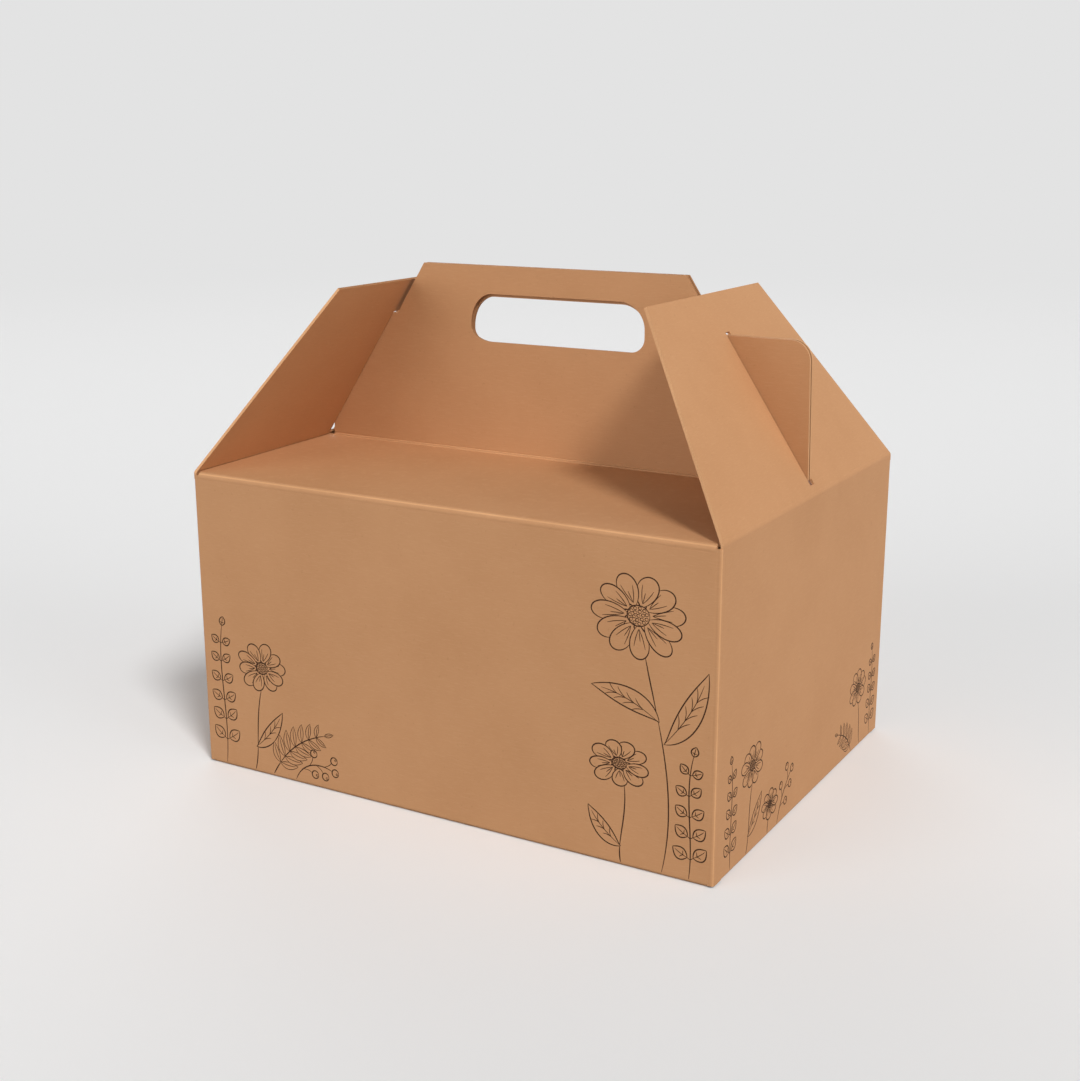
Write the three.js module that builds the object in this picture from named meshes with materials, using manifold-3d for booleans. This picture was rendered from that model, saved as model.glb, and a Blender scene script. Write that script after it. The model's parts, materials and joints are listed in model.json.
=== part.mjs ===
// Kraft gable box, closed: one folded sheet with an upright carrying handle, and the two end
// flaps that lean in over its ears. Millimetres. X runs along the front, Y from front to back
// and Z up, and the origin lies on the floor under the middle of the box.
import * as THREE from 'three';
import { mergeVertices } from 'three/addons/utils/BufferGeometryUtils.js';
import Module from 'manifold-3d';

const wasm = await Module();
wasm.setup();

// The board and its folds
const board = 1.0; // thickness of the sheet
const foldRadius = 1.4; // outside radius of a fold
const cutGap = 0.3; // clear space between two layers, or at a flap's fold
const foldSteps = 5; // straight pieces in each rounded fold
const cornerSteps = 8; // straight pieces in each rounded corner of an outline

// The box
const boxWidth = 240;
const boxDepth = 181.5;
const wallHeight = 129;
const reliefDepth = 2.0; // small cut beside each fold of the roof
const cornerLift = 0.3; // the walls' raw corners end this far above the floor

// The roof panels
const roofRise = 1.5; // the roof climbs this much from the walls to the handle
const roofSetBack = 2.7; // from an end wall's outside to the roof panel, at the wall's top
const earSetBack = 3.75; // the same at the foot of the handle

// The handle, two plies that stand on the roof panels
const handleHeight = 82; // from the top of the walls to the top edge
const handleTopWidth = 125;
const earHeight = 59.5; // from the top of the walls to the top of the ears
const shoulderWidth = 154; // across the foot of the handle's slanted sides
const earTaper = 1.1; // the outer sides of the ears lean in by this much
const earCornerRadius = 8;

// The hand hole
const holeWidth = 83;
const holeHeight = 20.4;
const holeBottom = 49.8; // from the top of the walls
const holeOffset = 2.9; // to the right of the middle
const holeLowerRadius = 5;
const holeUpperRadius = 10.5;

// The end flaps, which fold at the top of the end walls
const flapLean = THREE.MathUtils.degToRad(33); // past upright, towards the middle
const flapLength = 90;
const flapTopWidth = 105.5;
const flapSideGap = 0.6; // from the front and back walls' outsides to the flap's corners
const slotSideClearance = 0.35;
const slotEndClearance = 0.7;

// The locked bottom: the front flap's tongue lies on the back flap, over the end flaps' level
const bottomSetBack = 2.4; // from an end wall's outside to the front and back bottom flaps
const bottomCorner = 3.0; // those flaps' corners are cut in by this much beside the end flaps
const bottomTaper = 14; // and from there their sides slant in by this much
const bottomSeam = 1.0; // between the front and the back bottom flap
const dustSetBack = 6.75; // from the front and back walls' outsides to the end bottom flaps
const dustTaper = 24; // their sides slant in by this much
const dustLength = 55;
const dustRamp = 2.6; // length in which they climb onto the front and back flaps
const tongueWidth = 80;
const tongueLength = 36;
const tongueTaper = 10;
const tongueRamp = 4.5;

// The glued seam
const glueTabWidth = 16;
const glueTabTaper = 8;

const colours = { sheet: '#b98a61', flap: '#c0916a' };

// Where the folds lie
const halfWidth = boxWidth / 2;
const halfDepth = boxDepth / 2;
const halfBoard = board / 2;
const overlap = 0.5; // how far joined solids reach into each other
const plyMiddle = cutGap / 2 + halfBoard; // from the middle plane to the middle of a ply
const roofTop = wallHeight + roofRise;
const handleTop = wallHeight + handleHeight;
const earTop = wallHeight + earHeight;
const wallTop = wallHeight - reliefDepth;
const foldStart = 2 * foldRadius; // up a wall from its bottom fold
const upperLayer = board + cutGap; // underside of what lies on the lowest layer
const bottomEdge = halfWidth - bottomSetBack;
const dustEdge = halfDepth - dustSetBack;
const mitre = Math.tan(flapLean / 2); // slope of the mitred fold across the board
const mitreGap = cutGap / 2 / Math.cos(flapLean / 2);

// Views: each turns a flat outline's x and y into two of the box's axes and extrudes it
// along the third.
const views = {
  plan: new THREE.Matrix4(),
  side: new THREE.Matrix4().makeBasis(
    new THREE.Vector3(0, 1, 0), new THREE.Vector3(0, 0, 1), new THREE.Vector3(1, 0, 0)),
  front: new THREE.Matrix4().makeBasis(
    new THREE.Vector3(1, 0, 0), new THREE.Vector3(0, 0, 1), new THREE.Vector3(0, -1, 0)),
};

// A closed geometry as a solid, its doubled vertices joined.
function solid(geometry) {
  geometry.deleteAttribute('normal');
  geometry.deleteAttribute('uv');
  const merged = mergeVertices(geometry);
  return new wasm.Manifold(new wasm.Mesh({
    numProp: 3,
    vertProperties: new Float32Array(merged.attributes.position.array),
    triVerts: new Uint32Array(merged.index.array),
  }));
}

// A flat shape extruded from `from` to `to` along the axis that its view looks along.
function prism(shape, view, from, to) {
  const geometry = new THREE.ExtrudeGeometry(shape, {
    depth: to - from, bevelEnabled: false, curveSegments: cornerSteps,
  });
  geometry.translate(0, 0, from);
  geometry.applyMatrix4(views[view]);
  return solid(geometry);
}

function polygon(points) {
  return new THREE.Shape(points.map(([x, y]) => new THREE.Vector2(x, y)));
}

// A rectangle with its corners rounded; the lower and the upper radius may differ.
function roundedRectangle(Path, left, bottom, right, top, lower, upper) {
  const path = new Path();
  path.moveTo(left + lower, bottom);
  path.absarc(right - lower, bottom + lower, lower, -Math.PI / 2, 0, false);
  path.absarc(right - upper, top - upper, upper, 0, Math.PI / 2, false);
  path.absarc(left + upper, top - upper, upper, Math.PI / 2, Math.PI, false);
  path.absarc(left + lower, bottom + lower, lower, Math.PI, 1.5 * Math.PI, false);
  return path;
}

// The section of a folded strip: its middle line runs through the points, each fold is an arc,
// and the two faces lie half a board to either side.
function stripSection(points) {
  const middle = points.map(([x, y]) => new THREE.Vector2(x, y));
  const radius = foldRadius - halfBoard;
  const faces = { left: [], right: [] };
  const addPoint = (point, normal) => {
    faces.left.push(point.clone().addScaledVector(normal, halfBoard));
    faces.right.unshift(point.clone().addScaledVector(normal, -halfBoard));
  };
  const leftOf = (direction) => new THREE.Vector2(-direction.y, direction.x);
  const runs = middle.slice(1).map((end, i) => end.clone().sub(middle[i]).normalize());
  addPoint(middle[0], leftOf(runs[0]));
  for (let i = 1; i < runs.length; i++) {
    const turn = Math.atan2(runs[i - 1].cross(runs[i]), runs[i - 1].dot(runs[i]));
    const side = Math.sign(turn);
    const inset = radius * Math.tan(Math.abs(turn) / 2);
    const start = middle[i].clone().addScaledVector(runs[i - 1], -inset);
    const spoke = leftOf(runs[i - 1]);
    const centre = start.clone().addScaledVector(spoke, side * radius);
    for (let step = 0; step <= foldSteps; step++) {
      const normal = spoke.clone().rotateAround(new THREE.Vector2(), turn * step / foldSteps);
      addPoint(centre.clone().addScaledVector(normal, -side * radius), normal);
    }
  }
  addPoint(middle.at(-1), leftOf(runs.at(-1)));
  return new THREE.Shape([...faces.left, ...faces.right]);
}

// The four walls, with rounded upright corners, cut away where the bottom flaps fold.
function walls() {
  const outside = roundedRectangle(THREE.Shape,
    -halfWidth, -halfDepth, halfWidth, halfDepth, foldRadius, foldRadius);
  outside.holes.push(roundedRectangle(THREE.Path,
    board - halfWidth, board - halfDepth, halfWidth - board, halfDepth - board,
    foldRadius - board, foldRadius - board));
  const fold = (edge) => polygon([[-edge, 0], [edge, 0], [edge, foldStart], [-edge, foldStart]]);
  return prism(outside, 'plan', cornerLift, wallTop)
    .subtract(prism(fold(bottomEdge), 'front', -halfDepth, halfDepth))
    .subtract(prism(fold(dustEdge), 'side', -halfWidth, halfWidth));
}

// The mitred top of an end wall, where its flap folds. `end` is 1 on the right, -1 on the left.
function endRim(end) {
  const rim = polygon([
    [end * halfWidth, wallTop - overlap],
    [end * halfWidth, wallHeight - mitreGap],
    [end * (halfWidth - board), wallHeight - mitreGap - board * mitre],
    [end * (halfWidth - board), wallTop - overlap],
  ]);
  return prism(rim, 'front', flapSideGap - halfDepth, halfDepth - flapSideGap);
}

// The outline of the handle and its ears, seen from the front, down to below the roof's folds.
function handleOutline() {
  const outer = halfWidth - earSetBack;
  const outline = new THREE.Shape();
  const roofEdge = halfWidth - roofSetBack;
  outline.moveTo(-roofEdge, wallTop - 2 * overlap);
  outline.lineTo(roofEdge, wallTop - 2 * overlap);
  outline.lineTo(roofEdge, roofTop);
  outline.lineTo(outer, roofTop);
  outline.lineTo(outer - earTaper, earTop - earCornerRadius);
  outline.absarc(outer - earTaper - earCornerRadius, earTop - earCornerRadius, earCornerRadius,
    0, Math.PI / 2, false);
  outline.lineTo(shoulderWidth / 2, earTop);
  outline.lineTo(handleTopWidth / 2, handleTop);
  outline.lineTo(-handleTopWidth / 2, handleTop);
  outline.lineTo(-shoulderWidth / 2, earTop);
  outline.absarc(earTaper + earCornerRadius - outer, earTop - earCornerRadius, earCornerRadius,
    Math.PI / 2, Math.PI, false);
  outline.lineTo(-outer, roofTop);
  outline.lineTo(-roofEdge, roofTop);
  outline.holes.push(roundedRectangle(THREE.Path,
    holeOffset - holeWidth / 2, wallHeight + holeBottom,
    holeOffset + holeWidth / 2, wallHeight + holeBottom + holeHeight,
    holeLowerRadius, holeUpperRadius));
  return outline;
}

// The roof panels seen from above: their cut sides draw in towards the handle.
function roofOutline() {
  const atWall = halfWidth - roofSetBack;
  const atHandle = halfWidth - earSetBack;
  return polygon([
    [-atWall, -halfDepth], [atWall, -halfDepth], [atHandle, 0],
    [atWall, halfDepth], [-atWall, halfDepth], [-atHandle, 0],
  ]);
}

// A roof panel and its ply of the handle. `face` is -1 for the front wall, 1 for the back.
function roofAndHandle(face) {
  const section = stripSection([
    [face * plyMiddle, handleTop],
    [face * plyMiddle, roofTop - halfBoard],
    [face * (halfDepth - halfBoard), wallHeight - halfBoard],
    [face * (halfDepth - halfBoard), wallTop - overlap],
  ]);
  return prism(section, 'side', -halfWidth, halfWidth)
    .intersect(prism(handleOutline(), 'front', -halfDepth, halfDepth))
    .intersect(prism(roofOutline(), 'plan', 0, handleTop));
}

// A bottom flap of the front or the back wall, the lowest layer of the bottom.
function bottomFlap(face, outline) {
  const section = stripSection([
    [face * (halfDepth - halfBoard), foldStart + overlap],
    [face * (halfDepth - halfBoard), halfBoard],
    [face * bottomSeam / 2, halfBoard],
  ]);
  return prism(section, 'side', -halfWidth, halfWidth)
    .intersect(prism(outline, 'plan', 0, foldStart + board));
}

// The tongue starts level with the front flap and climbs onto the back flap.
function tongue() {
  const foot = -tongueRamp - bottomSeam;
  const section = stripSection([
    [foot - foldRadius, halfBoard],
    [foot, halfBoard],
    [-bottomSeam, upperLayer + halfBoard],
    [tongueLength, upperLayer + halfBoard],
  ]);
  const outline = polygon([
    [-tongueWidth / 2, foot - foldRadius], [tongueWidth / 2, foot - foldRadius],
    [tongueWidth / 2, 0], [tongueWidth / 2 - tongueTaper, tongueLength],
    [tongueTaper - tongueWidth / 2, tongueLength], [-tongueWidth / 2, 0],
  ]);
  return prism(section, 'side', -tongueWidth / 2, tongueWidth / 2)
    .intersect(prism(outline, 'plan', 0, 2 * upperLayer));
}

// The bottom: the front flap is cut away where its tongue leaves it.
function bottom() {
  const atDust = bottomEdge - bottomCorner;
  const atSeam = atDust - bottomTaper;
  const cut = tongueWidth / 2 + cutGap;
  const foot = -tongueRamp - bottomSeam;
  const corners = (face) => [
    [atDust, face * dustEdge], [bottomEdge, face * halfDepth],
    [-bottomEdge, face * halfDepth], [-atDust, face * dustEdge],
  ];
  const back = bottomFlap(1, polygon([[-atSeam, 0], [atSeam, 0], ...corners(1)]));
  const front = bottomFlap(-1, polygon([
    [-atSeam, 0], [-cut, 0], [-cut, foot], [cut, foot], [cut, 0], [atSeam, 0], ...corners(-1),
  ]));
  return back.add(front).add(tongue());
}

// An end wall's bottom flap, which lies on the front and back ones.
function dustFlap(end) {
  const flat = halfWidth - 2 * foldRadius;
  const section = stripSection([
    [end * (halfWidth - halfBoard), foldStart + overlap],
    [end * (halfWidth - halfBoard), halfBoard],
    [end * flat, halfBoard],
    [end * (flat - dustRamp), upperLayer + halfBoard],
    [end * (halfWidth - dustLength), upperLayer + halfBoard],
  ]);
  const atTip = dustEdge - dustTaper;
  const outline = polygon([
    [end * halfWidth, -dustEdge], [end * halfWidth, dustEdge],
    [end * (halfWidth - dustLength), atTip], [end * (halfWidth - dustLength), -atTip],
  ]);
  return prism(section, 'front', -halfDepth, halfDepth)
    .intersect(prism(outline, 'plan', 0, foldStart + board));
}

// The left wall's tab, glued flat to the inside of the back wall.
function glueTab() {
  const low = foldStart + board;
  const high = wallTop - foldRadius;
  const inner = board - halfWidth;
  const outline = polygon([
    [inner - overlap, low], [inner, low], [inner + glueTabWidth, low + glueTabTaper],
    [inner + glueTabWidth, high - glueTabTaper], [inner, high], [inner - overlap, high],
  ]);
  return prism(outline, 'front', board / 2 - halfDepth, 2 * board - halfDepth);
}

function carton() {
  const corners = roundedRectangle(THREE.Shape,
    -halfWidth, -halfDepth, halfWidth, halfDepth, foldRadius, foldRadius);
  return [
    endRim(-1), endRim(1), roofAndHandle(-1), roofAndHandle(1),
    bottom(), dustFlap(-1), dustFlap(1), glueTab(),
  ].reduce((sheet, piece) => sheet.add(piece), walls())
    .intersect(prism(corners, 'plan', 0, handleTop));
}

// An end flap, upright: its fold lies along Y through the origin, its outside faces +X, and its
// slot clears both plies of the ear that passes through it.
function endFlap() {
  const section = polygon([
    [0, mitreGap], [0, flapLength], [-board, flapLength], [-board, mitreGap + board * mitre],
  ]);
  const base = halfDepth - flapSideGap;
  const slotHalf = plyMiddle + halfBoard + slotSideClearance;
  const lean = { sin: Math.sin(flapLean), cos: Math.cos(flapLean) };
  const slotStart = (earSetBack - board * lean.cos) / lean.sin - slotEndClearance;
  const slotEnd = (earHeight + board * lean.sin) / lean.cos + slotEndClearance;
  const outline = polygon([
    [-base, 0], [base, 0], [flapTopWidth / 2, flapLength], [-flapTopWidth / 2, flapLength],
  ]);
  outline.holes.push(polygon([
    [-slotHalf, slotStart], [slotHalf, slotStart], [slotHalf, slotEnd], [-slotHalf, slotEnd],
  ]));
  return prism(section, 'front', -halfDepth, halfDepth)
    .intersect(prism(outline, 'side', -2 * board, board));
}

function node(name, shape, colour) {
  const { numProp, vertProperties, triVerts } = shape.getMesh();
  const geometry = new THREE.BufferGeometry();
  geometry.setAttribute('position', new THREE.BufferAttribute(vertProperties, numProp));
  geometry.setIndex(new THREE.BufferAttribute(triVerts, 1));
  geometry.computeVertexNormals();
  const material = new THREE.MeshStandardMaterial({ color: colour, roughness: 0.85, metalness: 0 });
  const mesh = new THREE.Mesh(geometry, material);
  mesh.name = name;
  return mesh;
}

// A flap at its fold, leaning in. The left one is the right one turned half round.
function placedFlap(name, end) {
  const fold = new THREE.Group();
  fold.rotation.y = -flapLean;
  fold.add(node(name, endFlap(), colours.flap));
  const wall = new THREE.Group();
  wall.position.set(end * halfWidth, 0, wallHeight);
  wall.rotation.z = end > 0 ? 0 : Math.PI;
  wall.add(fold);
  return wall;
}

const gableBox = new THREE.Group();
gableBox.add(node('carton', carton(), colours.sheet));
gableBox.add(placedFlap('left_end_flap', -1));
gableBox.add(placedFlap('right_end_flap', 1));

export default gableBox;
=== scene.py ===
import json
import math

import bpy
import numpy as np
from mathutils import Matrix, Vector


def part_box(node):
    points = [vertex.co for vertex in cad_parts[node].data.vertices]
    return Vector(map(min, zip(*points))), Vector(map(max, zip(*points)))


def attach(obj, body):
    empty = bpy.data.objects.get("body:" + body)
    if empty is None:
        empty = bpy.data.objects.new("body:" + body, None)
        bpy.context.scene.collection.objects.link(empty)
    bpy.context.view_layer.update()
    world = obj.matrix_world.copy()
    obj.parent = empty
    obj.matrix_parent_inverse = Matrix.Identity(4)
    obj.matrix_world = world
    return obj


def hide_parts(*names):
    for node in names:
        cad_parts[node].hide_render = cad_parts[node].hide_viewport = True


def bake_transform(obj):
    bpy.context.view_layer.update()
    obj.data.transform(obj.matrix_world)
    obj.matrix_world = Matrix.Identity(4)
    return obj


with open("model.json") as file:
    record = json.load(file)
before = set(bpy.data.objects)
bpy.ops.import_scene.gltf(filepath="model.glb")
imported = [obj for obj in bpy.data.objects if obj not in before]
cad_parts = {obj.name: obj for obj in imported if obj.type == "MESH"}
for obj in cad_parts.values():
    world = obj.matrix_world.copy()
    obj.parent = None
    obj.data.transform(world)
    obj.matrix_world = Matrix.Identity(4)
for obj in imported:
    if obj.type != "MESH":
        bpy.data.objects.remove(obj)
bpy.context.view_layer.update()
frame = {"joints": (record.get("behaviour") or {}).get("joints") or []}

mm = 0.001

# The camera, fitted to the straight edges of the box
view = dict(
    place=(0.327122, -0.569705, 0.268483),
    tilt=75.158,     # degrees up from straight down
    roll=0.113,
    turn=30.256,     # degrees round from looking along +Y
    lens=52.2305,
    sensor=36.0,
)


def makeCamera():
    data = bpy.data.cameras.new("camera")
    data.sensor_width = view["sensor"]
    data.lens = view["lens"]
    camera = bpy.data.objects.new("camera", data)
    camera.location = view["place"]
    camera.rotation_euler = [math.radians(view[key]) for key in ("tilt", "roll", "turn")]
    bpy.context.collection.objects.link(camera)
    bpy.context.scene.camera = camera


makeCamera()
print("camera set")

# Sizes that the solids give, in millimetres
cartonHigh = np.array(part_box("carton")[1]) / mm
flapLow, flapHigh = (np.array(corner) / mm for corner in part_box("right_end_flap"))
foldPlace = np.array(next(j for j in frame["joints"] if j["name"] == "right_flap_fold")["pos_m"]) / mm
halfWidth = cartonHigh[0]
halfDepth = cartonHigh[1]
handleTop = cartonHigh[2]
wallHeight = foldPlace[2]

# The sheet
sheet = dict(
    board=1.1,
    skin=0.06,          # the faces lie this far inside the solids, which leaves room for the print
    foldRadius=1.25,    # outside radius of a fold
    bottomFoldRadius=1.5,
    roofFoldRadius=2.1,
    flapFoldRadius=3.2,
    bead=0.42,          # the ridge that rises on the inside of the roof's folds
    foldSteps=10,
    scoreAt=0.7,        # each fold has a pressed line to either side of it, this far away
    scoreWidth=0.36,
    scoreDepth=0.05,
    scoreReach=1.82,    # the board is sampled this far from a fold
    scoreSteps=14,
)
beyond = 1.0            # cutting shapes reach this far past what they cut
board = sheet["board"]
halfBoard = board / 2
outerX = halfWidth - sheet["skin"]
outerY = halfDepth - sheet["skin"]
wallX = outerX - halfBoard       # middle of an end wall
wallY = outerY - halfBoard       # middle of the front or the back wall


# Outlines are arrays of points. An arc's points are its centre plus the radius times the
# cosine and the sine of evenly spaced angles, in degrees.
def arc(x, y, radius, start, end, steps=12):
    angles = np.radians(np.linspace(start, end, steps + 1))
    return np.column_stack([x + radius * np.cos(angles), y + radius * np.sin(angles)])


def outline(*parts):
    return np.vstack([np.atleast_2d(np.array(part, float)) for part in parts])


# A rectangle about the middle: half its width to either side, from low to high.
def rectangle(half, low, high):
    return outline((-half, low), (half, low), (half, high), (-half, high))


# The section of a folded board. Its middle line runs through the points: a straight run is
# sampled close to a fold, where a score line presses the board towards the inside of the fold
# by scoreDepth * exp(-((distance - scoreAt) / scoreWidth)^2), and a fold is an arc that touches
# both runs. The two faces lie half a board to either side of the line. On the inside of a fold a
# bead rises by bead * sin(pi * share of the turn)^2.
def foldedSection(points, scored=True, radius=sheet["foldRadius"], bead=0.0):
    points = np.array(points, float)
    midRadius = radius - halfBoard
    runs = np.diff(points, axis=0)
    lengths = np.linalg.norm(runs, axis=1)
    runs /= lengths[:, None]
    left = np.column_stack([-runs[:, 1], runs[:, 0]])
    cross = runs[:-1, 0] * runs[1:, 1] - runs[:-1, 1] * runs[1:, 0]
    turns = np.arctan2(cross, (runs[:-1] * runs[1:]).sum(1))
    insets = midRadius * np.tan(np.abs(turns) / 2)
    reach = sheet["scoreReach"]
    near = np.linspace(0, reach, sheet["scoreSteps"] + 1)[1:]
    press = sheet["scoreDepth"] * np.exp(-((near - sheet["scoreAt"]) / sheet["scoreWidth"]) ** 2)
    middle, normals, beads = [points[:1]], [left[:1]], [np.zeros(1)]
    for i, turn in enumerate(turns):
        side = np.sign(turn)
        start = points[i + 1] - runs[i] * insets[i]
        end = points[i + 1] + runs[i + 1] * insets[i]
        centre = start + side * left[i] * midRadius
        angles = np.linspace(0, turn, sheet["foldSteps"] + 1)
        cos, sin = np.cos(angles), np.sin(angles)
        spokes = np.column_stack([left[i, 0] * cos - left[i, 1] * sin,
                                  left[i, 0] * sin + left[i, 1] * cos])
        if scored and lengths[i] > 2 * reach + insets[i]:
            middle.append(start - near[::-1, None] * runs[i] + press[::-1, None] * side * left[i])
            normals.append(np.tile(left[i], (len(near), 1)))
            beads.append(np.zeros(len(near)))
        middle.append(centre - side * spokes * midRadius)
        normals.append(spokes)
        beads.append(side * bead * np.sin(np.linspace(0, np.pi, len(spokes))) ** 2)
        if scored and lengths[i + 1] > 2 * reach + insets[i]:
            middle.append(end + near[:, None] * runs[i + 1] + press[:, None] * side * left[i + 1])
            normals.append(np.tile(left[i + 1], (len(near), 1)))
            beads.append(np.zeros(len(near)))
    middle = np.vstack(middle + [points[-1:]])
    normals = np.vstack(normals + [left[-1:]])
    beads = np.concatenate(beads + [np.zeros(1)])[:, None]
    return np.vstack([middle + normals * (halfBoard + beads.clip(0)),
                      (middle - normals * (halfBoard - beads.clip(None, 0)))[::-1]])


# A prism: outline point j at station i, carried along the axis that the view looks along, with
# a flat face at each end. An axis order of x, y, z says where outline x, outline y and the
# station go.
viewAxes = dict(plan=(0, 1, 2), side=(1, 2, 0), front=(0, 2, 1))


def prism(name, points, viewName, low, high):
    count = len(points)
    axes = viewAxes[viewName]
    corners = np.empty((2, count, 3))
    corners[..., axes[0]] = points[:, 0]
    corners[..., axes[1]] = points[:, 1]
    corners[..., axes[2]] = np.array([low, high])[:, None]
    here = np.arange(count)
    after = np.roll(here, -1)
    sides = np.column_stack([here, after, after + count, here + count])
    x, y = points.T
    turnsLeft = (x * np.roll(y, -1) - y * np.roll(x, -1)).sum() > 0
    faces = [*sides.tolist(), here[::-1].tolist(), (here + count).tolist()]
    if turnsLeft == (viewName == "front"):
        faces = [face[::-1] for face in faces]
    mesh = bpy.data.meshes.new(name)
    mesh.from_pydata((corners.reshape(-1, 3) * mm).tolist(), [], faces)
    piece = bpy.data.objects.new(name, mesh)
    bpy.context.collection.objects.link(piece)
    return piece


# Joins or cuts one closed piece with another, which is used up.
def combine(body, tool, operation):
    modifier = body.modifiers.new("combine", "BOOLEAN")
    modifier.operation = operation
    modifier.solver = "EXACT"
    modifier.object = tool
    bpy.context.view_layer.update()
    result = bpy.data.meshes.new_from_object(body.evaluated_get(bpy.context.evaluated_depsgraph_get()))
    body.modifiers.clear()
    body.data = result
    bpy.data.objects.remove(tool)
    return body


# The walls are one folded strip: it starts at the back left corner, runs round the back, the
# right, the front and the left wall, and ends in the tab glued inside the back wall.
walls = dict(
    tabWidth=16, tabGlue=0.04, seam=0.5,
    rimDrop=3.0,      # the folded sheets above take over this far below the rim
    lap=2.0,          # and reach this much further down, within the wall
    rimCut=2.64,      # the end walls' rim is cut to this depth
    reliefDepth=1.3,  # small cut beside the roof's folds
    footLift=0.75,    # the strip starts this far up, within the bottom's folds
)


def makeWalls():
    tabY = wallY - board - walls["tabGlue"]
    section = foldedSection([
        (walls["seam"] - outerX, wallY), (wallX, wallY), (wallX, -wallY), (-wallX, -wallY),
        (-wallX, tabY), (walls["tabWidth"] - wallX, tabY),
    ])
    strip = prism("carton_sheet", section, "plan", walls["footLift"], wallHeight - walls["reliefDepth"])
    # the end walls stop lower, where the flaps' own sheets take over
    rim = wallHeight - walls["rimDrop"]
    notch = rectangle(halfDepth - flap["sideGap"], rim, wallHeight)
    for end in (-1, 1):
        low, high = sorted((end * (halfWidth - walls["rimCut"]), end * halfWidth))
        combine(strip, prism("rim_cut", notch, "side", low, high), "DIFFERENCE")
    # and so do the front and the back wall, where the roof's folds take over
    notch = rectangle(halfWidth - handle["roofSetBack"], rim, wallHeight)
    combine(strip, prism("rim_cut", notch, "front", -halfDepth, halfDepth), "DIFFERENCE")
    # at the foot the sheets of the bottom take over
    across, along = bottom["edge"], bottom["dustEdge"]
    for viewName, edge, reach in (("front", across, halfDepth), ("side", along, halfWidth)):
        cut = rectangle(edge, -beyond, foldTop)
        combine(strip, prism("fold_cut", cut, viewName, -reach, reach), "DIFFERENCE")
    return strip


# The roof panels and the two plies of the handle
handle = dict(
    roofRise=1.5, roofSetBack=2.7, roofFoldEnd=2.2,
    plyGap=1.05,                        # the two plies stand this far apart
    roofGap=1.8, roofNarrowing=0.9,     # the roof's own edges lie closer to the end flaps
    roofEdgeTop=1.6,                    # and end this far above the rim
    earSetBack=3.75, earHeight=59.5, earTaper=1.1, earRadius=8,
    # under each ear the sheet steps back: how far from the end, and up to what height
    neckLeft=(5.8, 7.9), neckRight=(5.2, 5.2),
    shoulderWidth=154, topWidth=125,
    holeWidth=83, holeHeight=20.4, holeBottom=49.8, holeOffset=2.9,
    holeDrop=1.35,    # the plies don't quite line up: the back one's hole lies lower
    holeSteps=24,
    # the hole's corners: how wide and how tall each one is
    holeLowRight=(6.5, 6), holeHighRight=(11.5, 11), holeHighLeft=(10.5, 13), holeLowLeft=(10.5, 6.5),
)
roofSheetLow = wallHeight - walls["rimDrop"] - walls["lap"]     # within the walls


# The roof and the handle seen from the front: straight up beside the roof, a step in and out at
# the foot of each ear, the ear's quarter circle, its level top and the sloped shoulder.
def handleOutline():
    outer = halfWidth - handle["earSetBack"]
    inner = outer - handle["earTaper"]
    (neckLeft, leftTop), (neckRight, rightTop) = (
        (halfWidth - handle[key][0], wallHeight + handle[key][1]) for key in ("neckLeft", "neckRight"))
    roofEdge = halfWidth - handle["roofGap"]
    roofTop = wallHeight + handle["roofEdgeTop"]
    earTop = wallHeight + handle["earHeight"]
    radius = handle["earRadius"]
    return outline(
        (-roofEdge, roofSheetLow), (roofEdge, roofSheetLow), (roofEdge, roofTop),
        (neckRight, roofTop), (neckRight, rightTop), (outer, rightTop),
        arc(inner - radius, earTop - radius, radius, 0, 90),
        (handle["shoulderWidth"] / 2, earTop), (handle["topWidth"] / 2, handleTop),
        (-handle["topWidth"] / 2, handleTop), (-handle["shoulderWidth"] / 2, earTop),
        arc(radius - inner, earTop - radius, radius, 90, 180),
        (-outer, leftTop), (-neckLeft, leftTop), (-neckLeft, roofTop), (-roofEdge, roofTop),
    )


# The hand hole: a quarter of an ellipse at each corner, its centre one corner size in from the
# rectangle's corner, and straight lines between them.
def handHole(face):
    half = np.array([handle["holeWidth"], handle["holeHeight"]]) / 2
    drop = handle["holeDrop"] if face > 0 else 0
    centre = np.array([handle["holeOffset"], wallHeight + handle["holeBottom"] + half[1] - drop])
    corners = []
    for k, (place, side) in enumerate((("holeLowRight", (1, -1)), ("holeHighRight", (1, 1)),
                                       ("holeHighLeft", (-1, 1)), ("holeLowLeft", (-1, -1)))):
        size = np.array(handle[place])
        quarter = arc(0, 0, 1, 90 * k - 90, 90 * k, handle["holeSteps"])
        corners.append(centre + side * (half - size) + size * quarter)
    return outline(*corners)


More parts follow.
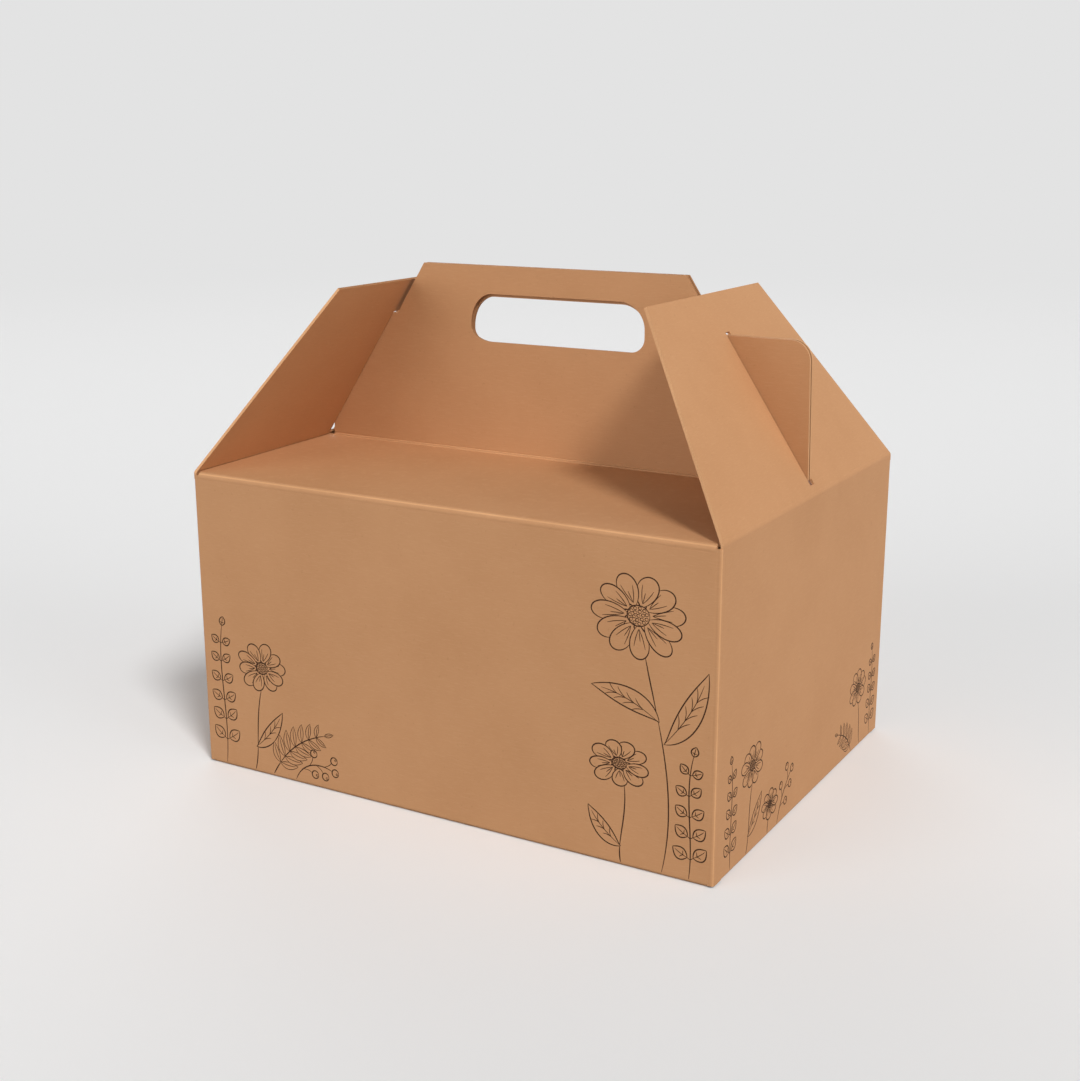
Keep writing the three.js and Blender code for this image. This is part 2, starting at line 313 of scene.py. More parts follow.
# A roof panel and its ply of the handle; face is -1 at the front and 1 at the back. A strip is
# folded down the handle, out over the roof and down the wall. It is then cut to the outline seen
# from the front and to a plan whose ends draw in towards the middle.
def makeRoofAndHandle(face):
    ply = handle["plyGap"] / 2 + halfBoard
    section = foldedSection([
        (face * ply, handleTop), (face * ply, wallHeight + handle["roofRise"] - halfBoard),
        (face * wallY, wallHeight - halfBoard), (face * wallY, roofSheetLow - beyond),
    ], radius=sheet["roofFoldRadius"], bead=sheet["bead"])
    strip = prism("roof", section, "side", -halfWidth, halfWidth)
    combine(strip, prism("handle_cut", handleOutline(), "front", -halfDepth, halfDepth), "INTERSECT")
    fold = halfWidth - handle["roofSetBack"]
    wide = halfWidth - handle["roofGap"]
    narrow = wide - handle["roofNarrowing"]
    foldEnd = halfDepth - handle["roofFoldEnd"]
    quarter = outline((fold, halfDepth), (fold, foldEnd), (wide, foldEnd), (narrow, 0))
    half = outline(quarter, quarter[-2::-1] * (1, -1))
    plan = outline(half, half[::-1] * (-1, 1))
    combine(strip, prism("plan_cut", plan, "plan", 0, handleTop + beyond), "INTERSECT")
    hole = prism("hole_cut", handHole(face), "front", -halfDepth, halfDepth)
    return combine(strip, hole, "DIFFERENCE")


# The locked bottom
bottom = dict(
    edge=halfWidth - 2.4,         # half the front and back flaps' width at their folds
    corner=3.0, taper=14, seam=1.0,
    dustEdge=halfDepth - 6.75,    # half the end flaps' width at their folds
    dustTaper=24, dustLength=55, dustRamp=2.6,
    tongueWidth=80, tongueLength=36, tongueTaper=10, tongueRamp=4.5, tongueRoot=1.4,
    layerGap=0.46,      # between a flap and what lies over or beside it
    lap=1.5,            # the bottom's sheets reach this far up within the wall
)
upperLayer = board + bottom["layerGap"]
foldTop = 2 * sheet["bottomFoldRadius"]
lapTop = foldTop + bottom["lap"]
tongueFoot = -bottom["tongueRamp"] - bottom["seam"]


# The front or the back flap: a strip that runs down the wall's foot and level to the seam along
# the middle. Seen from above, each side goes straight in to a corner and then slants to the tip.
def makeBottomFlap(face):
    section = foldedSection([
        (face * wallY, lapTop), (face * wallY, halfBoard), (face * bottom["seam"] / 2, halfBoard),
    ], scored=False, radius=sheet["bottomFoldRadius"])
    strip = prism("bottom_flap", section, "side", -halfWidth, halfWidth)
    corner = bottom["edge"] - bottom["corner"]
    tip = corner - bottom["taper"]
    plan = outline((-tip, 0), (-corner, face * bottom["dustEdge"]), (-bottom["edge"], face * halfDepth),
                   (bottom["edge"], face * halfDepth), (corner, face * bottom["dustEdge"]), (tip, 0))
    combine(strip, prism("plan_cut", plan, "plan", -beyond, lapTop + beyond), "INTERSECT")
    if face < 0:
        slot = rectangle(bottom["tongueWidth"] / 2 + bottom["layerGap"], tongueFoot, beyond)
        combine(strip, prism("tongue_cut", slot, "plan", -beyond, lapTop), "DIFFERENCE")
    return strip


# The front flap's tongue: level, then a ramp up by one layer, and level again over the back flap,
# with its sides drawn in towards the tip.
def makeTongue():
    section = foldedSection([
        (tongueFoot - bottom["tongueRoot"], halfBoard), (tongueFoot, halfBoard),
        (-bottom["seam"], upperLayer + halfBoard),
        (bottom["tongueLength"], upperLayer + halfBoard)], scored=False)
    wide = bottom["tongueWidth"] / 2
    narrow = wide - bottom["tongueTaper"]
    strip = prism("tongue", section, "side", -wide, wide)
    root = tongueFoot - 2 * beyond
    plan = outline((-wide, root), (wide, root), (wide, 0),
                   (narrow, bottom["tongueLength"]), (-narrow, bottom["tongueLength"]), (-wide, 0))
    return combine(strip, prism("plan_cut", plan, "plan", -beyond, lapTop), "INTERSECT")


# An end flap of the bottom: down the wall's foot, a ramp up by one layer and level to its tip,
# with its sides drawn in.
def makeDustFlap(end):
    flat = halfWidth - 2 * sheet["bottomFoldRadius"]
    tipX = halfWidth - bottom["dustLength"]
    section = foldedSection([
        (end * wallX, lapTop), (end * wallX, halfBoard), (end * flat, halfBoard),
        (end * (flat - bottom["dustRamp"]), upperLayer + halfBoard),
        (end * tipX, upperLayer + halfBoard)], scored=False, radius=sheet["bottomFoldRadius"])
    strip = prism("dust_flap", section, "front", -halfDepth, halfDepth)
    wide, narrow = bottom["dustEdge"], bottom["dustEdge"] - bottom["dustTaper"]
    plan = outline((end * halfWidth, -wide), (end * halfWidth, wide),
                   (end * tipX, narrow), (end * tipX, -narrow))
    return combine(strip, prism("plan_cut", plan, "plan", -beyond, lapTop + beyond), "INTERSECT")


# The end flaps. Each starts on its end wall, just below the fold.
flap = dict(
    sideGap=0.6, length=90, topWidth=105.5,
    root=6,          # its outline starts this far below the fold
    tipSlack=0.01,   # and ends this far past the sheet's own end
    cutReach=6.6,    # its cutting shapes reach this far to either side of its plane
    slotSide=0.35, slotEnd=0.7,
    slotLowEnd=dict(left=1.2, right=1.0),     # how far each slot runs on under its ear
    bend=1.7,        # half the height over which the sheet bends with the joint
)
lean = math.atan2(halfWidth - flapLow[0], flapHigh[2] - wallHeight)


# The flap's outline lies in its own plane: distance y along the fold, distance up the slope.
# A point there is the fold plus that distance times the slope's direction, which leans in.
def flapCutter(name, points, end):
    piece = prism(name, points, "side", -flap["cutReach"], flap["cutReach"])
    count = len(piece.data.vertices)
    corners = np.empty(count * 3)
    piece.data.vertices.foreach_get("co", corners)
    x, y, up = corners.reshape(-1, 3).T
    leaning = np.column_stack([end * (outerX * mm + x * math.cos(lean) - up * math.sin(lean)), y,
                               wallHeight * mm + x * math.sin(lean) + up * math.cos(lean)])
    piece.data.vertices.foreach_set("co", leaning.ravel())
    if end < 0:
        piece.data.flip_normals()
    return piece


# A strip that runs up the wall and turns in by the lean, cut to its outline: straight sides to
# the fold, then sides drawn in evenly to the tip, and a slot from below its ear to above it.
def makeEndFlap(side, end):
    name = f"{side}_flap_sheet"
    top = (outerX - flap["length"] * math.sin(lean), wallHeight + flap["length"] * math.cos(lean))
    inward = halfBoard * math.cos(lean), halfBoard * math.sin(lean)
    foldHeight = wallHeight - halfBoard * math.tan(lean / 2)
    section = foldedSection([
        (end * wallX, wallHeight - walls["rimDrop"]), (end * wallX, foldHeight),
        (end * (top[0] - inward[0]), top[1] - inward[1])], radius=sheet["flapFoldRadius"])
    piece = prism(name, section, "front", -halfDepth, halfDepth)
    base, root = halfDepth - flap["sideGap"], -flap["root"]
    tip, tipHeight = flap["topWidth"] / 2, flap["length"] + flap["tipSlack"]
    shape = outline((-base, root), (base, root), (base, 0), (tip, tipHeight), (-tip, tipHeight), (-base, 0))
    combine(piece, flapCutter("flap_cut", shape, end), "INTERSECT")
    slotHalf = board + handle["plyGap"] / 2 + flap["slotSide"]
    slotLow = (handle["earSetBack"] - board * math.cos(lean)) / math.sin(lean) - flap["slotLowEnd"][side]
    slotHigh = (handle["earHeight"] + board * math.sin(lean)) / math.cos(lean) + flap["slotEnd"]
    slot = rectangle(slotHalf, slotLow, slotHigh)
    return combine(piece, flapCutter("slot_cut", slot, end), "DIFFERENCE")


# Materials. A colour is written as sRGB in hex, and its linear values go to the shader.
def linearColour(hexText):
    values = np.array([int(hexText[i:i + 2], 16) for i in (1, 3, 5)]) / 255
    linear = np.where(values <= 0.04045, values / 12.92, ((values + 0.055) / 1.055) ** 2.4)
    return (*linear.tolist(), 1.0)


def addNode(tree, kind, inputs=None, **settings):
    node = tree.nodes.new(kind)
    for key, value in settings.items():
        setattr(node, key, value)
    for key, value in (inputs or {}).items():
        if isinstance(value, bpy.types.NodeSocket):
            tree.links.new(value, node.inputs[key])
        else:
            node.inputs[key].default_value = value
    return node


def newMaterial(name):
    material = bpy.data.materials.new(name)
    material.use_nodes = True
    material.node_tree.nodes.clear()
    return material, material.node_tree


# The darker edge tone is painted shade, laid on the hand hole's edges and on the edges above the ears.
kraft = dict(
    colour="#C59165", cutEdgeAndFoldHighlight="#DAA576", paintedShadeEdge="#98673F",
    mottleSize=46, fibreWidth=0.35, fibreLength=3.2, fleckSize=1.3,     # millimetres
    # over the board's own colour: a tone, the noise where it starts and where it is full, its share
    mottle=("#B98559", 0.35, 0.7, 0.5),
    fibre=("#D2A47A", 0.5, 0.8, 0.32),
    fleck=("#9A6A42", 0.66, 0.8, 0.25),
    roughness=0.72, specular=0.35, bumpHeight=0.03, bumpStrength=0.35,
)
inkFinish = dict(dark="#2E1B10", worn="#4A2E1C", wearScale=900.0, roughness=0.8, specular=0.2)


# Uncoated kraft board, calendered smooth: a mottled brown with pale fibres lying along the
# sheet and sparse darker flecks. It gives the eye a soft, nearly matt sheet.
def makeKraft(name, tint="colour"):
    material, tree = newMaterial(name)
    place = addNode(tree, "ShaderNodeTexCoord").outputs["Object"]
    mottle = addNode(tree, "ShaderNodeTexNoise", {
        "Vector": place, "Scale": 1 / (kraft["mottleSize"] * mm), "Detail": 5.0, "Roughness": 0.6})
    along, across = 1 / (kraft["fibreLength"] * mm), 1 / (kraft["fibreWidth"] * mm)
    stretched = addNode(tree, "ShaderNodeMapping", {"Vector": place, "Scale": (along, along, across)})
    fibre = addNode(tree, "ShaderNodeTexNoise", {
        "Vector": stretched.outputs["Vector"], "Scale": 1.0, "Detail": 3.0, "Roughness": 0.65})
    fleck = addNode(tree, "ShaderNodeTexNoise", {
        "Vector": place, "Scale": 1 / (kraft["fleckSize"] * mm), "Detail": 2.0, "Roughness": 0.5})
    colour = linearColour(kraft[tint])
    for noise, (tone, start, full, most) in (
            (mottle, kraft["mottle"]), (fibre, kraft["fibre"]), (fleck, kraft["fleck"])):
        share = addNode(tree, "ShaderNodeMapRange", {
            "Value": noise.outputs["Fac"], "From Min": start, "From Max": full, "To Max": most})
        colour = addNode(tree, "ShaderNodeMix", {
            "Factor": share.outputs["Result"], 6: colour, 7: linearColour(tone)},
            data_type="RGBA").outputs[2]
    height = addNode(tree, "ShaderNodeMath", {
        0: fibre.outputs["Fac"], 1: mottle.outputs["Fac"]}, operation="ADD")
    bump = addNode(tree, "ShaderNodeBump", {
        "Height": height.outputs["Value"], "Strength": kraft["bumpStrength"],
        "Distance": kraft["bumpHeight"] * mm})
    shader = addNode(tree, "ShaderNodeBsdfPrincipled", {
        "Base Color": colour, "Roughness": kraft["roughness"], "Normal": bump.outputs["Normal"],
        "Specular IOR Level": kraft["specular"]})
    addNode(tree, "ShaderNodeOutputMaterial", {"Surface": shader.outputs["BSDF"]})
    return material


# Flexographic ink, soaked into the board: matt, dark brown.
def makeInk():
    material, tree = newMaterial("flexo_ink")
    place = addNode(tree, "ShaderNodeTexCoord").outputs["Object"]
    wear = addNode(tree, "ShaderNodeTexNoise", {
        "Vector": place, "Scale": inkFinish["wearScale"], "Detail": 2.0})
    mix = addNode(tree, "ShaderNodeMix", {
        "Factor": wear.outputs["Fac"], 6: linearColour(inkFinish["dark"]),
        7: linearColour(inkFinish["worn"])}, data_type="RGBA")
    shader = addNode(tree, "ShaderNodeBsdfPrincipled", {
        "Base Color": mix.outputs[2], "Roughness": inkFinish["roughness"],
        "Specular IOR Level": inkFinish["specular"]})
    addNode(tree, "ShaderNodeOutputMaterial", {"Surface": shader.outputs["BSDF"]})
    return material


kraftBoard = makeKraft("uncoated_kraft_board")
cutEdgeAndFoldHighlight = makeKraft("kraft_cut_edge_and_fold_highlight", "cutEdgeAndFoldHighlight")              # paler: the raw, fibrous middle of the board, and a painted highlight along the middle of folds
paintedShadeEdge = makeKraft("kraft_painted_shade_edge", "paintedShadeEdge")  # darker: painted shade on the hand hole's edges and on the edges above the ears
ink = makeInk()
print("materials made")


dressing = dict(
    square=0.3,        # how far a cut edge's normal may lie along its panel's
    margin=0.1,        # millimetres about the hole and above the ears
    foldHeight=1.0,    # above the foot of the handle the handle's own faces begin
    cutHeight=0.5,     # below the cuts beside the roof's folds the walls' faces begin
)


# The cut edges are the narrow faces that stand square to the panel they belong to.
def dress(piece, panelNormal):
    mesh = piece.data
    mesh.materials.clear()
    for material in (kraftBoard, cutEdgeAndFoldHighlight, paintedShadeEdge):
        mesh.materials.append(material)
    count = len(mesh.polygons)
    normals = np.empty(count * 3)
    centres = np.empty(count * 3)
    mesh.polygons.foreach_get("normal", normals)
    mesh.polygons.foreach_get("center", centres)
    centres = centres.reshape(-1, 3) / mm
    facing = np.abs((normals.reshape(-1, 3) * panelNormal(centres)).sum(1))
    # the hand hole's edges and the edges above the ears take the darker tone, as painted shade
    x, z = centres[:, 0], centres[:, 2] - wallHeight
    margin = dressing["margin"]
    atHole = np.abs(x - handle["holeOffset"]) < handle["holeWidth"] / 2 + margin
    aboveHole = z > handle["holeBottom"] - handle["holeDrop"] - margin
    shadeMask = (atHole & aboveHole) | (z > handle["earHeight"] + margin)
    # faces that stand square take the pale edge tone; fold middles that pass the same test take it too, as
    # a painted highlight
    edge = facing < dressing["square"]
    mesh.polygons.foreach_set("material_index", np.where(edge, 1 + shadeMask, 0).astype(np.int32))
    mesh.update()


# A weight for each axis: the handle's faces look along Y, and the roof's look between Y and Z, so
# that what looks along X there is cut. A fold's middle, where the weighted parts of its normal
# cancel, is dressed as an edge too: its pale tone is a painted highlight along the fold, as on the near
# corner.
def cartonNormals(centres):
    across = np.ones_like(centres)
    z = centres[:, 2]
    across[z > wallHeight - walls["reliefDepth"] - dressing["cutHeight"], 0] = 0
    across[z > wallHeight + handle["roofRise"] + dressing["foldHeight"], 2] = 0
    return across


def makeCarton():
    sheetPiece = makeWalls()
    for part in (makeRoofAndHandle(-1), makeRoofAndHandle(1), makeBottomFlap(-1), makeBottomFlap(1),
                 makeTongue(), makeDustFlap(-1), makeDustFlap(1)):
        combine(sheetPiece, part, "UNION")
    sheetPiece.name = "carton_sheet"
    dress(sheetPiece, cartonNormals)
    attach(sheetPiece, "carton")
    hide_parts("carton")


def makeFlaps():
    for side, end in (("left", -1), ("right", 1)):
        piece = makeEndFlap(side, end)
        slope = np.array([end * math.cos(lean), 0, math.sin(lean)])
        dress(piece, lambda centres, slope=slope: np.where(
            centres[:, 2:] > wallHeight, slope, np.array([1.0, 0, 0])))
        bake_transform(piece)
        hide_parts(f"{side}_end_flap")


makeCarton()
print("carton sheet folded")
makeFlaps()
print("end flaps folded")


# The print: line drawings of field plants, a group at each corner of the front and of the right
# end. A drawing is a list of lines, each an array of points with the name of its width.
printing = dict(
    line=0.62, fine=0.36,      # widths in millimetres
    dense=160,                 # points of a line as drawn
    stations=22,               # and as laid on the board
    thinnest=0.35,             # the share of its width that a line has at its ends
    crown=0.7,                 # the share of its width that a line has on top
    sunk=0.02, proud=0.03, seed=11,
)
chance = np.random.default_rng(printing["seed"])
steps = np.linspace(0, 1, printing["dense"])


# A curve drawn from a few control points: each point of it is their mean, weighted by the
# Bernstein polynomials of the distance along it.
def curve(*controls):
    controls = np.array(controls, float)
    degree = len(controls) - 1
    weights = np.stack([math.comb(degree, k) * steps ** k * (1 - steps) ** (degree - k)
                        for k in range(degree + 1)], axis=1)
    return weights @ controls


def ring(centre, radius):
    return arc(centre[0], centre[1], radius, 0, 360, printing["dense"] - 1)


# A vector turned to the left by an angle, with that angle's cosine and sine.
def turned(vector, degrees):
    cos, sin = math.cos(math.radians(degrees)), math.sin(math.radians(degrees))
    return np.array([vector[0] * cos - vector[1] * sin, vector[0] * sin + vector[1] * cos])


# A point lies in a closed shape when a level line from it crosses the shape's rim an odd number
# of times.
def liesIn(points, shape):
    x, y = points[:, :1], points[:, 1:]
    x0, y0 = shape.T
    x1, y1 = np.roll(shape, -1, axis=0).T
    crossing = (y0 > y) != (y1 > y)
    rise = np.where(y1 == y0, 1, y1 - y0)
    return (crossing & (x < x0 + (y - y0) * (x1 - x0) / rise)).sum(axis=1) % 2 == 1


# Hides what a new shape covers of the lines drawn before it.
def cover(lines, shape):
    low, high = shape.min(axis=0), shape.max(axis=0)
    shown = []
    for points, width in lines:
        if (points.max(axis=0) < low).any() or (points.min(axis=0) > high).any():
            shown.append((points, width))
            continue
        hidden = liesIn(points, shape)
        for run in np.split(np.arange(len(points)), np.flatnonzero(np.diff(hidden)) + 1):
            if not hidden[run[0]] and len(run) > 3:
                shown.append((points[run], width))
    return shown


# A leaf: two edges that swell away from the midrib, the midrib and some veins. Each row places a
# control point: how far along the leaf, how far aside and how much of the leaf's bow it takes.
leaf = dict(
    edge=((0.1, 0.4, 1.0), (0.45, 1.3, 1.0), (0.85, 0.3, 0.5)),
    midrib=((0.5, 1.0), (0.86, 0.25)),       # these lie on the middle line
    vein=((0.09, 0.1), (0.15, 0.42)),        # and these take no bow
    firstVein=0.25, veinSpread=0.6,          # shares of the midrib
)


def drawLeaf(lines, base, tip, swell, curl=0.0, veins=3, width="line"):
    base, tip = np.array(base, float), np.array(tip, float)
    along = tip - base
    across = np.array([-along[1], along[0]])
    bow = across * curl
    edges = [curve(base, *(base + along * reach + across * side * swell * aside + bow * share
                           for reach, aside, share in leaf["edge"]), tip)
             for side in (-1, 1)]
    lines = cover(lines, np.vstack([edges[0], edges[1][::-1]]))
    midrib = curve(base, *(base + along * reach + bow * share for reach, share in leaf["midrib"]))
    lines += [(edges[0], width), (edges[1], width), (midrib, "fine")]
    for k in range(veins):
        start = midrib[int(len(midrib) * (leaf["firstVein"] + leaf["veinSpread"] * k / veins))]
        for side in (-1, 1):
            vein = curve(start, *(start + along * reach + across * side * swell * aside
                                  for reach, aside in leaf["vein"]))
            lines.append((vein, "fine"))
    return lines


# A daisy: round-ended petals that overlap, about a centre of small seeds, seen at a slant. The
# rows place a petal's control points: shares of its length outwards and of its width aside.
daisy = dict(
    sway=5,                                     # degrees to either side
    lengths=(0.88, 1.0), widths=(2.7, 3.1),     # in radii, the width for all petals together
    foot=0.2, petal=((0.6, 1.5), (1.24, 1.0), (1.12, 0.0), (1.24, -1.0), (0.6, -1.5)),
    veinFoot=0.3, veinMiddle=0.5, veinFlare=1.5,
    veins=((-0.3, 0.74), (0.05, 0.62), (0.32, 0.8)),      # aside, and the share of the length
    eye=0.24, seed=0.035, seedTurn=15,
    seedRings=((1, 0.0), (6, 0.1), (11, 0.18)),           # how many seeds, how far out
)


def drawDaisy(lines, centre, radius, petals=9, slant=0.8, turn=0.0):
    centre = np.array(centre, float)
    squeeze = np.array([1.0, slant])
    for k in range(petals):
        out = turned((1, 0), 360 * k / petals + turn + chance.uniform(-daisy["sway"], daisy["sway"]))
        across = turned(out, 90)
        length = radius * chance.uniform(*daisy["lengths"])
        width = radius * chance.uniform(*daisy["widths"]) / petals
        foot = out * radius * daisy["foot"]
        petal = centre + squeeze * curve(foot, *(out * length * reach + across * width * aside
                                                 for reach, aside in daisy["petal"]), foot)
        lines = cover(lines, petal) + [(petal, "line")]
        for side, reach in daisy["veins"]:
            vein = curve(out * radius * daisy["veinFoot"],
                         out * length * daisy["veinMiddle"] + across * side * width,
                         out * length * reach + across * side * width * daisy["veinFlare"])
            lines.append((centre + squeeze * vein, "fine"))
    eye = centre + squeeze * ring((0, 0), radius * daisy["eye"])
    lines = cover(lines, eye) + [(eye, "line")]
    for count, reach in daisy["seedRings"]:
        for k in range(count):
            seed = turned((radius * reach, 0), 360 * k / count + daisy["seedTurn"])
            lines.append((centre + squeeze * ring(seed, radius * daisy["seed"]), "fine"))
    return lines


# The place at a share of a stem's length, and the direction that the stem takes there.
def alongStem(stem, share):
    at = min(int(share * len(stem)), len(stem) - 2)
    step = stem[at + 1] - stem[at]
    return stem[at], step / np.linalg.norm(step)


# A twig with round leaves in pairs that grow smaller towards its tip.
twig = dict(first=0.16, angle=(50, 64), shrink=0.45, stalk=0.22, swell=0.55, curl=0.08)


def drawRoundLeafTwig(lines, controls, pairs, size):
    stem = curve(*controls)
    lines = lines + [(stem, "line")]
    for k in range(pairs + 1):
        share = twig["first"] + (1 - twig["first"]) * k / pairs
        place, along = alongStem(stem, share)
        grown = size * (1 - twig["shrink"] * share)
        for side in ((0,) if k == pairs else (-1, 1)):
            out = turned(along, side * chance.uniform(*twig["angle"]))
            base = place + (out * grown * twig["stalk"] if side else 0)
            if side:
                lines.append((curve(place, base), "fine"))
            lines = drawLeaf(lines, base, base + out * grown, twig["swell"],
                             curl=side * twig["curl"], veins=1)
    return lines


# A fern frond: narrow leaflets in pairs along a bent stem. A leaflet's length is the size times
# least + (1 - least) * sin(pi * (waveFrom + waveOver * share of the stem)).
frond = dict(first=0.2, angle=56, least=0.35, waveFrom=0.3, waveOver=0.62, swell=0.26, curl=0.1)


def drawFrond(lines, controls, pairs, size):
    stem = curve(*controls)
    lines = lines + [(stem, "line")]
    for k in range(pairs + 1):
        share = frond["first"] + (1 - frond["first"]) * k / pairs
        place, along = alongStem(stem, share)
        wave = math.sin(math.pi * (frond["waveFrom"] + frond["waveOver"] * share))
        grown = size * (frond["least"] + (1 - frond["least"]) * wave)
        for side in ((0,) if k == pairs else (-1, 1)):
            out = turned(along, side * frond["angle"])
            lines = drawLeaf(lines, place, place + out * grown, frond["swell"],
                             curl=side * frond["curl"], veins=0, width="fine")
    return lines


# Berries on short stalks along a stem, and one at its tip. Sizes are shares of a berry's width.
berries = dict(first=0.3, angle=(40, 58), stalk=1.4, tipStalk=0.1, sag=(0.7, 0.4), dotAt=0.26, dot=0.12)


def drawBerries(lines, controls, count, size):
    stem = curve(*controls)
    lines = lines + [(stem, "line")]
    for k in range(count + 1):
        place, along = alongStem(stem, berries["first"] + (1 - berries["first"]) * k / count)
        side = 0 if k == count else 1 if k % 2 else -1
        out = turned(along, side * chance.uniform(*berries["angle"]))
        end = place + out * size * berries["stalk" if side else "tipStalk"]
        if side:
            sag = place + out * size * berries["sag"][0] + along * size * berries["sag"][1]
            lines.append((curve(place, sag, end), "fine"))
        middle = end + out * size / 2
        berry = ring(middle, size / 2)
        dot = ring(middle + out * size * berries["dotAt"], size * berries["dot"])
        lines = cover(lines, berry) + [(berry, "line"), (dot, "fine")]
    return lines


def drawStem(lines, *controls):
    return lines + [(curve(*controls), "line")]


def drawFront():
    # the tall group at the right
    lines = drawStem([], (91, 84), (96, 60), (106, 34), (99, 1.5))
    lines = drawLeaf(lines, (97, 60), (69, 70), 0.2, curl=-0.12, veins=4)
    lines = drawLeaf(lines, (99, 52), (116, 82), 0.19, curl=-0.1, veins=4)
    lines = drawDaisy(lines, (88, 99), 19, petals=11, slant=0.86, turn=12)
    lines = drawStem(lines, (83, 34), (85, 20), (80, 10), (82, 1.5))
    lines = drawLeaf(lines, (82, 8), (68, 22), 0.24, curl=0.12, veins=3)
    lines = drawDaisy(lines, (81, 41), 13, petals=9, slant=0.74, turn=30)
    lines = drawRoundLeafTwig(lines, [(110, 1.5), (112, 18), (107, 34), (111, 50)], 5, 7.2)
    # the low group at the left
    lines = drawRoundLeafTwig(lines, [(-110, 1.5), (-107, 24), (-113, 44), (-109, 64)], 6, 7.6)
    lines = drawStem(lines, (-89, 38), (-93, 24), (-91, 10), (-94, 1.5))
    lines = drawLeaf(lines, (-93, 12), (-78, 30), 0.2, curl=-0.1, veins=3)
    lines = drawDaisy(lines, (-88, 48), 13, petals=10, slant=0.84, turn=8)
    lines = drawFrond(lines, [(-84, 1.5), (-78, 12), (-70, 20), (-56, 24)], 7, 9.5)
    lines = drawBerries(lines, [(-72, 1.5), (-69, 9), (-61, 12), (-53, 9)], 4, 3.4)
    return lines


def drawRightEnd():
    # by the front corner
    lines = drawRoundLeafTwig([], [(-76, 1.5), (-78, 16), (-74, 30), (-77, 44)], 5, 6.2)
    lines = drawStem(lines, (-57, 28), (-60, 18), (-58, 8), (-61, 1.5))
    lines = drawLeaf(lines, (-60, 8), (-47, 22), 0.22, curl=-0.1, veins=3)
    lines = drawDaisy(lines, (-57, 36), 10.5, petals=9, slant=0.82, turn=14)
    lines = drawStem(lines, (-39, 8), (-40, 5), (-40, 1.5))
    lines = drawDaisy(lines, (-38, 13), 8, petals=8, slant=0.76, turn=40)
    lines = drawBerries(lines, [(-30, 1.5), (-28, 8), (-24, 14), (-17, 19)], 4, 3.2)
    # by the back corner
    lines = drawRoundLeafTwig(lines, [(80, 1.5), (78, 16), (82, 28), (79, 42)], 5, 6.2)
    lines = drawStem(lines, (63, 22), (66, 14), (65, 6), (67, 1.5))
    lines = drawDaisy(lines, (62, 29), 10.5, petals=9, slant=0.82, turn=5)
    return drawFrond(lines, [(56, 1.5), (53, 8), (48, 12), (38, 15)], 5, 7.5)


# Lays a drawing on a panel. Each line becomes a flat ribbon: a point of it is a point of the
# line, plus half its width across the line, plus a little height off the board. The width is
# that of its kind times thinnest + (1 - thinnest) * sqrt(sin(pi * distance along the line)).
def makePrint(name, lines, origin, across, outward):
    count, stations = len(lines), printing["stations"]
    spread = np.linspace(0, 1, stations)
    points = np.empty((count, stations, 2))
    for i, (line, _) in enumerate(lines):
        place = np.linspace(0, 1, len(line))
        points[i, :, 0] = np.interp(spread, place, line[:, 0])
        points[i, :, 1] = np.interp(spread, place, line[:, 1])
    swelling = printing["thinnest"] + (1 - printing["thinnest"]) * np.sqrt(np.sin(np.pi * spread).clip(0))
    halves = np.array([printing[width] for _, width in lines])[:, None] / 2 * swelling
    along = np.gradient(points, axis=1)
    along /= np.linalg.norm(along, axis=2, keepdims=True)
    beside = np.stack([-along[..., 1], along[..., 0]], axis=-1)
    # the four corners of the ribbon's section, counted round the line
    sideways = np.array([-1, 1, printing["crown"], -printing["crown"]])
    heights = np.array([-printing["sunk"], -printing["sunk"], printing["proud"], printing["proud"]])
    flat = points[:, :, None] + beside[:, :, None] * (halves[..., None] * sideways)[..., None]
    corners = (np.array(origin) + flat[..., :1] * np.array(across) + flat[..., 1:] * np.array((0, 0, 1))
               + heights[:, None] * np.array(outward))
    first = np.arange(count)[:, None, None] * stations * 4
    station = np.arange(stations - 1)[None, :, None] * 4
    corner = np.arange(4)
    after = (corner + 1) % 4
    sides = np.stack([first + station + corner, first + station + corner + 4,
                      first + station + after + 4, first + station + after], axis=-1).reshape(-1, 4)
    starts = first[:, 0] + corner
    ends = first[:, 0] + (stations - 1) * 4 + corner[::-1]
    mesh = bpy.data.meshes.new(name)
    mesh.from_pydata((corners.reshape(-1, 3) * mm).tolist(), [], np.vstack([sides, starts, ends]).tolist())
    mesh.materials.append(ink)
    piece = bpy.data.objects.new(name, mesh)
    bpy.context.collection.objects.link(piece)
    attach(piece, "carton")


makePrint("front_print", drawFront(), (0, -outerY, 0), (1, 0, 0), (0, -1, 0))
makePrint("right_end_print", drawRightEnd(), (outerX, 0, 0), (0, 1, 0), (1, 0, 0))
print("print laid on")


# Studio
studio = dict(
    floor="#F4F4F4", floorBounce="#9A9A9A", backdrop="#E3E3E3", ambient=0.23,
    floorSize=12, floorRoughness=0.9, floorSpecular=0.1,
    fadeFrom=0.7, fadeTo=2.5,      # metres from the box over which the floor takes the backdrop's colour
    lights=dict(       # strength, softness, height and turn to the front from the right, in degrees
        key=(1.95, 13.0, 46.0, 36.0),
        frontFill=(1.57, 50.0, 5.0, 116.0),
        rightFill=(1.34, 50.0, 5.0, 3.0),
        backFill=(1.4, 50.0, 6.0, 232.0),
    ),
)


# 1 for what the camera sees, straight or in a gloss or through glass, and 0 for soft light.
def seenByCamera(tree):
    rays = addNode(tree, "ShaderNodeLightPath").outputs
    seen = addNode(tree, "ShaderNodeMath", {
        0: rays["Is Camera Ray"], 1: rays["Is Glossy Ray"]}, operation="MAXIMUM")
    return addNode(tree, "ShaderNodeMath", {
        0: seen.outputs[0], 1: rays["Is Transmission Ray"]}, operation="MAXIMUM").outputs[0]


